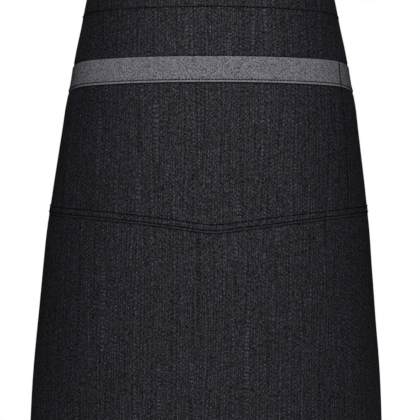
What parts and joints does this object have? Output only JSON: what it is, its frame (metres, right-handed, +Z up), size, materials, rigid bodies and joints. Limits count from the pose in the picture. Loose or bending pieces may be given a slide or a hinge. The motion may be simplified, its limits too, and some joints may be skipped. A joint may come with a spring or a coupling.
{
  "type": "waist apron",
  "caption": "Denim waist apron as worn, open at the back, with a full-width front pocket, a grey pocket band and ties in a bow behind.",
  "frame": {"origin": "middle of the waist ring, level with the middle of the waist hem at the centre front", "axes": "+Z up, the front of the apron faces -Y, +X to the wearer's left"},
  "size_m": [0.4268, 0.2613, 0.5682],
  "materials": {
    "denim": "matte black denim twill",
    "grey_band": "matte grey denim twill"
  },
  "bodies": {
    "root": {"skirt_panel": "denim", "pocket_panel": "denim", "pocket_band": "grey_band", "tie_left": "denim", "tie_right": "denim", "bow_knot": "denim", "bow_loop_left": "denim", "bow_loop_right": "denim", "tie_tail_left": "denim", "tie_tail_right": "denim"}
  },
  "joints": []
}
